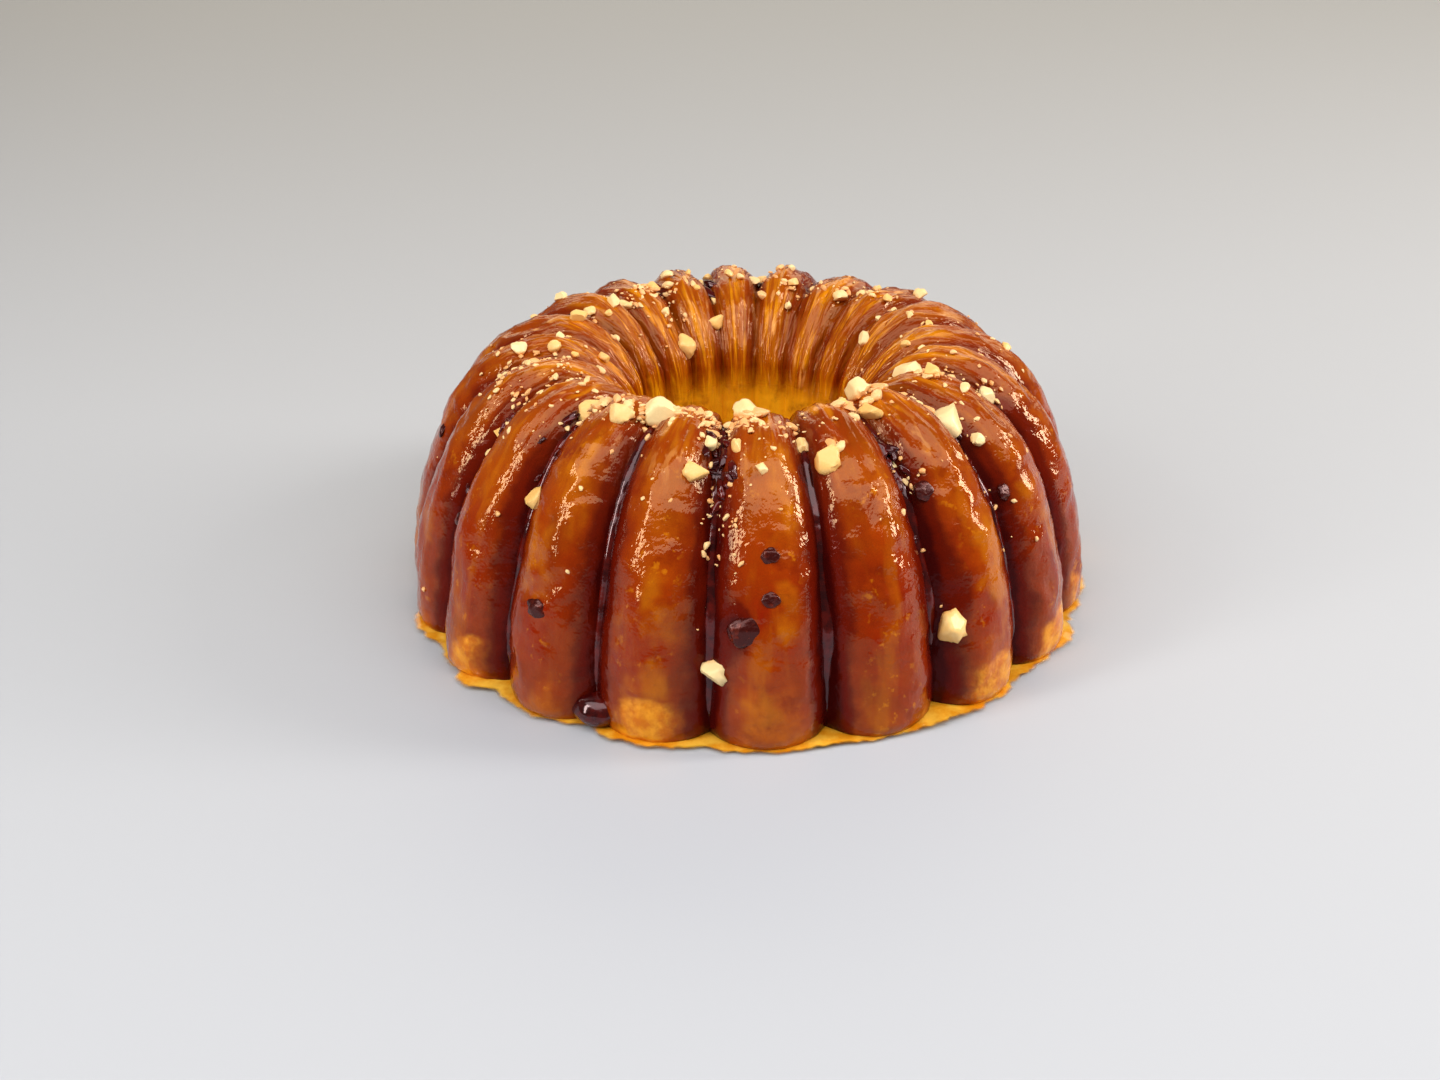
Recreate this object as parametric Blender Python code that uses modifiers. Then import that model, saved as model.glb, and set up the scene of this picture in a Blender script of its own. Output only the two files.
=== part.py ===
"""Fluted ring pound cake, soaked in caramel glaze and strewn with chopped nuts.

Metres, +Z up. The origin is the centre of the foot that the cake rests on.
Angles run round the ring from -Y towards +X. Before the flutes' uneven spacing is
added, a flute's middle lies at angle 0.
A `way` runs over the arch of the ring: -1 at the outer foot, 0 on the crest and
1 where the inner lip turns down into the wall of the hole.
"""

import math
import random

import bmesh
import bpy
from mathutils import Euler, Matrix, Vector, noise

# Driving dimensions of the ring
FLUTES = 20
FOOT_RADIUS = 0.1225
HEIGHT = 0.0935
CREST_RADIUS = 0.067
WALL_RADIUS = 0.0395
WALL_HEIGHT = 0.065
HOLE_FOOT_RADIUS = 0.0345
HOLE_EDGE = 0.0015

# Fullness of the arch, as the exponents of superellipses
CROWN_FULLNESS = 2.1
SIDE_FULLNESS = 2.1
LIP_FULLNESS = 1.6

# Grooves between the flutes, measured square to the arch
FOOT_GROOVE = 0.0115
CREST_GROOVE = 0.0072
WALL_GROOVE = 0.0028
DEEP_FROM_WAY = -0.6
FLUTE_POWER = 2.0
FLUTE_ROUNDNESS = 1.35
GROOVE_FILL = 0.93

# Unevenness of the baked surface
LUMP = 0.0013
LUMP_SCALE = 32.0
FRONT_SPREAD = math.radians(4.4)
FRONT_TURN = math.radians(-1.2)

# Syrup that has run down and set round the foot
FOOT_WAY = -0.98
SYRUP_LEAST = 0.0003
SYRUP_REACH = 0.0080
SYRUP_THICKNESS = 0.0009
SYRUP_LOBES = 4.5
SYRUP_AT_NOSE = 0.25
SYRUP_INTO_GROOVE = 0.35

# Facets of the turned ring
COLUMNS_PER_FLUTE = 8
OUTER_ROWS = 8
LIP_ROWS = 5
WALL_ROWS = 2

# Chopped nuts, placed by degrees round the ring, way, millimetres long and degrees turned
SHOWN_NUTS = (
    (-154, 0.70, 8, 80),
    (-171, 0.54, 6, 20),
    (-68, -0.34, 8, 10),
    (-68, -0.43, 7, 80),
    (-49, -0.06, 9, 60),
    (-49, -0.47, 8, 75),
    (-37, -0.10, 8, 30),
    (-28, 0.00, 11, 10),
    (-15, -0.28, 7, 0),
    (-13, -0.13, 5, 50),
    (-10, -0.83, 9, 15),
    (-7, -0.17, 5, 70),
    (-5, 0.12, 8, 40),
    (-2, -0.27, 4, 90),
    (8, -0.12, 6, 0),
    (12, -0.24, 9, 65),
    (24, 0.13, 5, 30),
    (28, -0.28, 4, 0),
    (30, -0.79, 10, 90),
    (30, -0.04, 7, 80),
    (34, 0.25, 10, 20),
    (48, -0.20, 12, 85),
    (50, -0.33, 5, 0),
    (58, -0.02, 6, 45),
    (66, 0.28, 12, 5),
    (67, -0.24, 7, 30),
)
SCATTERED_NUTS = 60
SHOWN_HALF = math.radians(75)
NUT_LENGTHS = (0.0034, 0.0075)
NUT_WAY_SPREAD = 0.28
NUT_SIZE = Vector((1.0, 0.85, 0.75))
NUT_SUNK = 0.25
NUT_ROUGH = 0.18
NUT_SEED = 7

# Raisins at the surface, placed by degrees round the ring, way and millimetres long
SHOWN_RAISINS = (
    (-64, -0.64, 6),
    (-40, -0.74, 8),
    (-5, -0.72, 12),
    (-1, -0.53, 6),
    (-1, -0.64, 6),
    (31, -0.41, 9),
    (50, -0.52, 7),
)
SCATTERED_RAISINS = 6
RAISIN_LENGTHS = (0.006, 0.011)
RAISIN_WAY = -0.6
RAISIN_WAY_SPREAD = 0.15
RAISIN_SIZE = Vector((1.0, 0.75, 0.45))
RAISIN_SUNK = -0.40
RAISIN_ROUGH = 0.10
RAISIN_SEED = 3
SPACING = 1.2
LAST_STREWN_WAY = 0.7

# Bead of caramel at the foot of one groove
BEAD_SIZE = Vector((0.016, 0.010, 0.012))
BEAD_DEGREES = -30
BEAD_WAY = -0.965
BEAD_SUNK = 0.35

PITCH = math.tau / FLUTES


def blend(start, end, share):
    """Value between start and end."""
    return start + (end - start) * share


def arch(way):
    """Radius and height of a flute's middle line."""
    if way <= 0:
        turn = (1 + way) * math.pi / 2
        out = max(math.cos(turn), 0) ** (2 / SIDE_FULLNESS)
        up = max(math.sin(turn), 0) ** (2 / CROWN_FULLNESS)
        return blend(CREST_RADIUS, FOOT_RADIUS, out), HEIGHT * up
    turn = way * math.pi / 2
    inward = max(math.sin(turn), 0) ** (2 / LIP_FULLNESS)
    up = max(math.cos(turn), 0) ** (2 / LIP_FULLNESS)
    return blend(CREST_RADIUS, WALL_RADIUS, inward), blend(WALL_HEIGHT, HEIGHT, up)


def arch_normal(way):
    """Direction square to the arch, as its radial and upward parts."""
    step = 0.01
    r0, z0 = arch(max(way - step, -1))
    r1, z1 = arch(min(way + step, 1))
    length = math.hypot(r1 - r0, z1 - z0)
    return (z1 - z0) / length, (r0 - r1) / length


def groove(way):
    """Depth of the grooves at this way over the arch."""
    if way < 0:
        share = math.sin(min(way / DEEP_FROM_WAY, 1) * math.pi / 2)
        return blend(CREST_GROOVE, FOOT_GROOVE, share)
    return blend(CREST_GROOVE, WALL_GROOVE, math.sin(way * math.pi / 2))


def across(angle):
    """Place across a flute: 0 on its middle, -1 and 1 in the grooves beside it."""
    return (angle / PITCH + 0.5) % 1 * 2 - 1


def drop(place):
    """Share of the groove's depth by which a flute falls away at this place across it."""
    height = (1 - abs(place) ** FLUTE_POWER) ** (1 / FLUTE_ROUNDNESS)
    return min(1 - height, GROOVE_FILL)


def on_ring(angle, radius, height):
    """Point at this angle round the ring."""
    return Vector((radius * math.sin(angle), -radius * math.cos(angle), height))


def swayed(angle):
    """Angle after the flutes' uneven spacing: broader at the front, narrower behind."""
    return angle + FRONT_SPREAD * math.sin(angle) + FRONT_TURN * (1 + math.cos(angle)) / 2


def unswayed(degrees):
    """Angle, before the uneven spacing, of a place seen at these degrees on the finished cake."""
    seen = math.radians(degrees)
    return 2 * seen - swayed(seen)


def arch_point(angle, way):
    """Point of the cake's surface over the arch, and the direction out of it."""
    radius, height = arch(way)
    out, up = arch_normal(way)
    swell = LUMP * noise.noise(on_ring(angle, radius, height) * LUMP_SCALE)
    shift = swell - groove(way) * drop(across(angle))
    around = swayed(angle)
    outward = on_ring(around, out, up)
    return on_ring(around, radius, height) + outward * shift, outward


def syrup_point(angle, height):
    """Point on the rim of the set syrup round the foot."""
    fallen = drop(across(angle))
    lobes = max(noise.noise(on_ring(angle, SYRUP_LOBES, 0)), 0) * blend(SYRUP_AT_NOSE, 1, fallen)
    recess = SYRUP_INTO_GROOVE * FOOT_GROOVE * fallen
    radius = FOOT_RADIUS - recess + SYRUP_LEAST + SYRUP_REACH * lobes
    return on_ring(swayed(angle), radius, height)


def flute_column(angle):
    """Angle moved towards the nearer groove, so that facets are finest where it turns."""
    place = across(angle)
    nearer = math.copysign(math.sin(abs(place) * math.pi / 2), place)
    return angle + (nearer - place) * PITCH / 2


def profile_rows():
    """Rows of the closed profile: radius, height, and the way of a row on the arch.

    They run from the crest down the outer side, across the foot and up the hole.
    """
    outer = [-row / OUTER_ROWS for row in range(OUTER_ROWS)] + [FOOT_WAY]
    lip = [1 - row / LIP_ROWS for row in range(LIP_ROWS)]
    rows = [(*arch(way), way) for way in outer]
    rows.append((FOOT_RADIUS + SYRUP_REACH, SYRUP_THICKNESS, None))
    rows.append((FOOT_RADIUS + SYRUP_REACH, 0, None))
    rows.append(((FOOT_RADIUS + HOLE_FOOT_RADIUS) / 2, 0, None))
    rows.append((HOLE_FOOT_RADIUS + HOLE_EDGE, 0, None))
    for row in range(WALL_ROWS):
        share = row / WALL_ROWS
        height = blend(HOLE_EDGE, WALL_HEIGHT, share)
        rows.append((blend(HOLE_FOOT_RADIUS, WALL_RADIUS, share), height, None))
    rows += [(*arch(way), way) for way in lip]
    return rows


def turned_ring(rows):
    """Plain ring turned from the profile."""
    mesh = bpy.data.meshes.new("profile")
    points = [(radius, 0, height) for radius, height, _ in rows]
    edges = [(row, (row + 1) % len(rows)) for row in range(len(rows))]
    mesh.from_pydata(points, edges, [])
    outline = bpy.data.objects.new("profile", mesh)
    bpy.context.scene.collection.objects.link(outline)
    turn = outline.modifiers.new("turn", "SCREW")
    turn.steps = FLUTES * COLUMNS_PER_FLUTE
    turn.render_steps = turn.steps
    turn.use_merge_vertices = True
    turn.merge_threshold = 0.0001
    graph = bpy.context.evaluated_depsgraph_get()
    ring = bpy.data.meshes.new_from_object(outline.evaluated_get(graph))
    bpy.data.objects.remove(outline)
    return ring


def flute(ring, rows):
    """Lay the plain ring's points on the fluted surface."""
    for vertex in ring.vertices:
        radius = math.hypot(vertex.co.x, vertex.co.y)
        height = vertex.co.z
        angle = flute_column(math.atan2(vertex.co.x, -vertex.co.y))
        row = min(rows, key=lambda known: math.hypot(known[0] - radius, known[1] - height))
        if row[2] is not None:
            vertex.co = arch_point(angle, row[2])[0]
        elif radius > FOOT_RADIUS:
            vertex.co = syrup_point(angle, height)
        else:
            vertex.co = on_ring(swayed(angle), radius, height)


def spaced_places(shown, count, way_spread, way_middle, sizes, draw):
    """Places of things strewn on the arch, the shown ones first, none touching another.

    A place is the angle, the way, the length and the turn. Those that are drawn keep off
    the front, where the shown ones lie.
    """
    places = list(shown)
    while len(places) < len(shown) + count:
        angle = draw.uniform(-math.pi, math.pi)
        way = draw.gauss(way_middle, way_spread)
        length = blend(*sizes, draw.random() ** 2)
        turn = draw.uniform(0, math.pi)
        if abs(angle) < SHOWN_HALF or not FOOT_WAY < way < LAST_STREWN_WAY:
            continue
        here = arch_point(angle, way)[0]
        gaps = [
            (here - arch_point(other[0], other[1])[0]).length - SPACING * (length + other[2]) / 2
            for other in places
        ]
        if min(gaps) > 0:
            places.append((angle, way, length, turn))
    return places


def nut_places():
    """Angle, way, length and turn of every chopped nut."""
    shown = [
        (unswayed(degrees), way, length / 1000, math.radians(turn))
        for degrees, way, length, turn in SHOWN_NUTS
    ]
    draw = random.Random(NUT_SEED)
    return spaced_places(shown, SCATTERED_NUTS, NUT_WAY_SPREAD, 0, NUT_LENGTHS, draw)


def raisin_places():
    """Angle, way, length and turn of every raisin."""
    shown = [
        (unswayed(degrees), way, length / 1000, 0)
        for degrees, way, length in SHOWN_RAISINS
    ]
    draw = random.Random(RAISIN_SEED)
    return spaced_places(
        shown, SCATTERED_RAISINS, RAISIN_WAY_SPREAD, RAISIN_WAY, RAISIN_LENGTHS, draw
    )


def pebble(name, place, size, sunk, rough, draw, finer=1):
    """Closed lump lying on the arch: a ball of this half size, roughened and part sunk."""
    angle, way, _, turn = place
    point, outward = arch_point(angle, way)
    shape = bmesh.new()
    bmesh.ops.create_icosphere(shape, subdivisions=finer, radius=1)
    for vertex in shape.verts:
        uneven = 1 + draw.uniform(-rough, rough)
        vertex.co = Vector(a * b for a, b in zip(vertex.co, size)) * uneven
    lie = outward.to_track_quat("Z", "Y").to_matrix() @ Matrix.Rotation(turn, 3, "Z")
    tilt = Euler((draw.uniform(-rough, rough), draw.uniform(-rough, rough), 0))
    turned = (lie @ tilt.to_matrix()).to_4x4()
    bmesh.ops.transform(shape, matrix=turned, verts=shape.verts)
    bmesh.ops.translate(shape, vec=point + outward * sunk * size.z, verts=shape.verts)
    mesh = bpy.data.meshes.new(name)
    shape.to_mesh(mesh)
    shape.free()
    return bpy.data.objects.new(name, mesh)


def toppings():
    """Collection of the nuts, the raisins and the caramel bead, each a closed solid."""
    strewn = bpy.data.collections.new("toppings")
    bpy.context.scene.collection.children.link(strewn)
    draw = random.Random(NUT_SEED)
    for number, place in enumerate(nut_places()):
        size = NUT_SIZE * place[2] / 2
        strewn.objects.link(pebble(f"nut_{number:03d}", place, size, NUT_SUNK, NUT_ROUGH, draw))
    for number, place in enumerate(raisin_places()):
        size = RAISIN_SIZE * place[2] / 2
        raisin = pebble(f"raisin_{number:02d}", place, size, RAISIN_SUNK, RAISIN_ROUGH, draw)
        strewn.objects.link(raisin)
    place = (unswayed(BEAD_DEGREES), BEAD_WAY, BEAD_SIZE.x, 0)
    bead = pebble("bead", place, BEAD_SIZE / 2, BEAD_SUNK, 0, draw, finer=2)
    strewn.objects.link(bead)
    return strewn


def fuse(cake, strewn):
    """Join the toppings to the cake as one solid."""
    joining = cake.modifiers.new("fuse", "BOOLEAN")
    joining.operation = "UNION"
    joining.operand_type = "COLLECTION"
    joining.collection = strewn
    joining.solver = "EXACT"
    graph = bpy.context.evaluated_depsgraph_get()
    fused = bpy.data.meshes.new_from_object(cake.evaluated_get(graph))
    cake.modifiers.clear()
    cake.data = fused
    for topping in list(strewn.objects):
        bpy.data.objects.remove(topping)
    bpy.data.collections.remove(strewn)


def glazed_crust():
    """Material of the caramel-glazed crust."""
    material = bpy.data.materials.new("glazed_crust")
    material.use_nodes = True
    shader = material.node_tree.nodes["Principled BSDF"]
    shader.inputs["Base Color"].default_value = (0.33, 0.08, 0.012, 1)
    shader.inputs["Roughness"].default_value = 0.25
    shader.inputs["Metallic"].default_value = 0
    return material


def main():
    """Build the pound cake."""
    for old in list(bpy.data.objects):
        bpy.data.objects.remove(old)
    collection = bpy.data.collections.new("pound_cake")
    bpy.context.scene.collection.children.link(collection)
    rows = profile_rows()
    ring = turned_ring(rows)
    flute(ring, rows)
    cake = bpy.data.objects.new("cake", ring)
    collection.objects.link(cake)
    fuse(cake, toppings())
    cake.data.materials.clear()
    cake.data.materials.append(glazed_crust())
    cake.data.set_sharp_from_angle(angle=math.radians(50))


main()
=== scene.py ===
"""Looks of a fluted ring pound cake: its glazed crust, caramel, nuts, raisins and syrup.

Lengths are metres and +Z is up. Angles run round the ring from -Y towards +X, and before
the flutes' uneven spacing a flute's middle lies at angle 0. A `way` runs over the arch of
the ring: -1 at the outer foot, 0 on the crest and 1 where the inner lip meets the hole.
"""

from __future__ import annotations

import logging
import math
import random
from dataclasses import dataclass, field
from enum import Enum
from typing import Any, Sequence

import bmesh
import bpy
import numpy as np
from mathutils import Euler, Matrix, Vector, noise

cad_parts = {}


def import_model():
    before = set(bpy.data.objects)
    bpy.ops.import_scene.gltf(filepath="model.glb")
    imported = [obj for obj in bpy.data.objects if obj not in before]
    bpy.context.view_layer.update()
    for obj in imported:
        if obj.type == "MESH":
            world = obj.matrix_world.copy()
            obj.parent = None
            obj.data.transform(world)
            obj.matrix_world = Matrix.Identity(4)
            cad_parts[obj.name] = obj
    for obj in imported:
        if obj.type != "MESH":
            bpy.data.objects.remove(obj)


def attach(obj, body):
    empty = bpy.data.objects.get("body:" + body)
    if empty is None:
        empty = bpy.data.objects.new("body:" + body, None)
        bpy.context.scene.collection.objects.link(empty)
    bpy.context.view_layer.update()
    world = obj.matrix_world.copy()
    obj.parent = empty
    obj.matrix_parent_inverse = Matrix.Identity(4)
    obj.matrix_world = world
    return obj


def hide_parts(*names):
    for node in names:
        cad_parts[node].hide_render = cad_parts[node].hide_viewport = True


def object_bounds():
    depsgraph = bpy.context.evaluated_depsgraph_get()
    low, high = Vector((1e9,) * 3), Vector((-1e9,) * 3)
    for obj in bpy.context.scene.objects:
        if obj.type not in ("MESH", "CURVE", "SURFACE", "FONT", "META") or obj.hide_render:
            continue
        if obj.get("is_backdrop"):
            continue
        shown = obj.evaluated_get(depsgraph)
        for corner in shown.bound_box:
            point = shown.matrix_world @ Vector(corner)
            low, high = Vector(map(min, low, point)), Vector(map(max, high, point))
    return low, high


log = logging.getLogger("pound_cake")

BODY = "root"
NODE = "cake"
MM = 0.001
DM = 0.1

Pair = tuple[float, float]
Triple = tuple[float, float, float]
Colour = Triple
# Angle, way, length and turn of a thing that lies on the ring, in radians and metres. The tables
# of what the photo shows hold them in degrees on the cake and millimetres.
Place = tuple[float, float, float, float]
# A patch of small bits: its middle in degrees and way, its spread in both, and how many.
Patch = tuple[float, float, float, float, int]
Array = np.ndarray
Faces = list[tuple[int, ...]]
Values = dict[Any, Any]
Material = bpy.types.Material
Piece = bpy.types.Object
Socket = bpy.types.NodeSocket

CHIP_LUMPS: tuple[Pair, ...] = ((0.25, 1.4), (0.2, 3.2))
CUT_REACH: Pair = (0.5, 0.85)
SEED_RANGE = 90
BIT_WAYS: Pair = (-0.92, 0.7)
CAKE_MIDDLE: Triple = (0, 0, 0.05)


class Slot(Enum):
    """Material slots of the record."""

    CRUST = "glazed_crust"
    CARAMEL = "caramel"
    SYRUP = "syrup"
    NUTS = "nuts"
    RAISINS = "raisins"


class Layer(Enum):
    """Values that a mesh carries for its material."""

    WAY = "way"
    FALLEN = "fallen"
    FLOW = "flow"
    BARE = "bare"
    RISE = "rise"
    TONE = "tone"


def blend(start: Any, end: Any, share: Any) -> Any:
    """Value between start and end."""
    return start + (end - start) * share


def smooth(low: float, high: float, value: Any) -> Any:
    """Smooth step from 0 at low to 1 at high."""
    share = np.clip((value - low) / (high - low), 0, 1)
    return share * share * (3 - 2 * share)


def linear(red: int, green: int, blue: int) -> Colour:
    """Linear values of a colour that is given as a screen shows it, in 0 to 255."""
    parts = [part / 255 for part in (red, green, blue)]
    return tuple(part / 12.92 if part <= 0.04045 else ((part + 0.055) / 1.055) ** 2.4 for part in parts)


def hill(seen: Any, middle: float, reach: float) -> Any:
    """Share that is 1 at the middle and falls off over this many degrees round the ring."""
    return np.exp(-((((seen - middle + 180) % 360 - 180) / reach) ** 2))


def ring_row(around: Array, radius: Any, height: Any) -> Array:
    """Points at these angles round the ring."""
    return np.stack([radius * np.sin(around), -radius * np.cos(around), height], axis=1)


def lumpy(points: Array, strength: float, scale: float, shift: float = 0.0) -> Array:
    """Points of a ball, moved in and out by noise.

    Args:
        points: The ball's points.
        strength: Height of the lumps, as a share of the radius.
        scale: How fine the lumps are.
        shift: Shift that tells one ball's lumps from another's.

    Returns:
        The moved points.
    """
    seed = Vector((shift, 0, 0))
    swell = [1 + strength * noise.noise(Vector(point) * scale + seed) for point in points]
    return points * np.array(swell)[:, None]


class Signal:
    """A number that varies over a surface, with its maths written as operators."""

    def __init__(self, graph: Graph, socket: Socket) -> None:
        """Wrap one socket of a graph."""
        self.graph = graph
        self.socket = socket

    def _math(self, operation: str, first: Any, second: Any = 0.0, clamp: bool = False) -> Signal:
        """Result of one Math node, held between 0 and 1 where clamp is set."""
        settings = {"operation": operation, "use_clamp": clamp}
        return self.graph.number("ShaderNodeMath", settings, {0: first, 1: second})

    def __add__(self, other: Any) -> Signal:
        """Sum."""
        return self._math("ADD", self, other)

    __radd__ = __add__

    def __sub__(self, other: Any) -> Signal:
        """Difference."""
        return self._math("SUBTRACT", self, other)

    def __rsub__(self, other: Any) -> Signal:
        """Difference, the other way round."""
        return self._math("SUBTRACT", other, self)

    def __mul__(self, other: Any) -> Signal:
        """Product."""
        return self._math("MULTIPLY", self, other)

    __rmul__ = __mul__

    def __abs__(self) -> Signal:
        """Size without its sign."""
        return self._math("ABSOLUTE", self)

    def clamped(self) -> Signal:
        """Held between 0 and 1."""
        return self._math("ADD", self, 0.0, clamp=True)

    def step(self, low: float, high: float) -> Signal:
        """Smooth step from 0 at low to 1 at high."""
        settings = {"interpolation_type": "SMOOTHSTEP"}
        return self.graph.number("ShaderNodeMapRange", settings, {0: self, 1: low, 2: high})


class Graph:
    """A material's nodes, built from expressions."""

    def __init__(self, name: str) -> None:
        """Start a material with one Principled shader."""
        self.material = bpy.data.materials.new(name)
        self.material.use_nodes = True
        self.nodes = self.material.node_tree.nodes
        self.shader = self.nodes["Principled BSDF"]
        self.place = self.node("ShaderNodeTexCoord", {}, {}, "Object")

    def node(self, kind: str, settings: Values, values: Values, output: Any = 0) -> Socket:
        """Add a node.

        Args:
            kind: Type of the node.
            settings: Its settings, set first; `stops` are a ramp's positions and colours.
            values: Numbers, colours, sockets or signals for its inputs.
            output: Name or number of the output that is wanted.

        Returns:
            That output.
        """
        made = self.nodes.new(kind)
        for name, setting in settings.items():
            if name == "stops":
                self._set_stops(made.color_ramp, setting)
            else:
                setattr(made, name, setting)
        for name, value in values.items():
            self.feed(made.inputs[name], value)
        return made.outputs[output]

    def _set_stops(self, ramp: bpy.types.ColorRamp, stops: Sequence[tuple[float, Colour]]) -> None:
        """Give a ramp its stops, as positions and colours."""
        while len(ramp.elements) < len(stops):
            ramp.elements.new(0.5)
        for element, (position, colour) in zip(ramp.elements, stops):
            element.position = position
            element.color = (*colour, 1)

    def feed(self, socket: Socket, value: Any) -> None:
        """Link a signal or socket into an input, or set its value."""
        if isinstance(value, Signal):
            value = value.socket
        if isinstance(value, Socket):
            self.material.node_tree.links.new(value, socket)
        elif socket.type == "RGBA":
            socket.default_value = (*value, 1)
        else:
            socket.default_value = value

    def number(self, kind: str, settings: Values, values: Values, output: Any = 0) -> Signal:
        """Add a node and take a number from it."""
        return Signal(self, self.node(kind, settings, values, output))

    def mix(self, share: Any, first: Any, second: Any) -> Socket:
        """Mix two colours, with this share of the second."""
        settings = {"data_type": "RGBA", "clamp_factor": True}
        return self.node("ShaderNodeMix", settings, {0: share, 6: first, 7: second}, 2)

    def carried(self, layer: Layer) -> Signal:
        """Value that the mesh carries."""
        return self.number("ShaderNodeAttribute", {"attribute_name": layer.value}, {}, "Fac")

    def noise(self, place: Socket, scale: float, detail: float, rough: float) -> Signal:
        """Noise between 0 and 1 at a place."""
        values = {"Vector": place, "Scale": scale, "Detail": detail, "Roughness": rough}
        return self.number("ShaderNodeTexNoise", {}, values)

    def streaks(self, across: float, along: float, detail: float = 2, offset: float = 0) -> Signal:
        """Noise that is drawn out along the flutes.

        Args:
            across: Streaks in a radian round the ring.
            along: Streaks in a decimetre over the arch.
            detail: Octaves.
            offset: Shift that tells one noise from another.

        Returns:
            The noise, between 0 and 1.
        """
        flow = self.node("ShaderNodeAttribute", {"attribute_name": Layer.FLOW.value}, {}, "Vector")
        factors = {0: flow, 1: Vector((across, across, along)), 2: Vector((offset,) * 3)}
        scaled = self.node("ShaderNodeVectorMath", {"operation": "MULTIPLY_ADD"}, factors)
        return self.noise(scaled, 1, detail, 0.5)

    def speckle(self, scale: float, detail: float = 3, rough: float = 0.6, offset: float = 0) -> Signal:
        """Cloudy noise between 0 and 1.

        Args:
            scale: Clouds in a metre.
            detail: Octaves.
            rough: Strength of the finer octaves.
            offset: Shift that tells one noise from another.

        Returns:
            The noise.
        """
        shift = Vector((offset,) * 3)
        moved = self.node("ShaderNodeVectorMath", {"operation": "ADD"}, {0: self.place, 1: shift})
        return self.noise(moved, scale, detail, rough)

    def bump(self, height: Any, distance: float, strength: float = 1.0) -> Socket:
        """Normal of a surface raised by a height."""
        values = {"Height": height, "Distance": distance, "Strength": strength}
        return self.node("ShaderNodeBump", {}, values)

    def dressed(self, **values: Any) -> Material:
        """Feed the shader's inputs, named with _ for a space, and give the material."""
        for name, value in values.items():
            self.feed(self.shader.inputs[name.replace("_", " ")], value)
        return self.material

    def over(self, share: Signal, **values: Any) -> Material:
        """Lay a second shader over the first.

        Args:
            share: How much of the second one shows.
            **values: The second shader's inputs, named with _ for a space.

        Returns:
            The material.
        """
        first = self.shader
        self.shader = self.nodes.new("ShaderNodeBsdfPrincipled")
        both = {0: share, 1: first.outputs[0], 2: self.shader.outputs[0]}
        mixed = self.node("ShaderNodeMixShader", {}, both)
        self.feed(self.nodes["Material Output"].inputs["Surface"], mixed)
        return self.dressed(**values)


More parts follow.
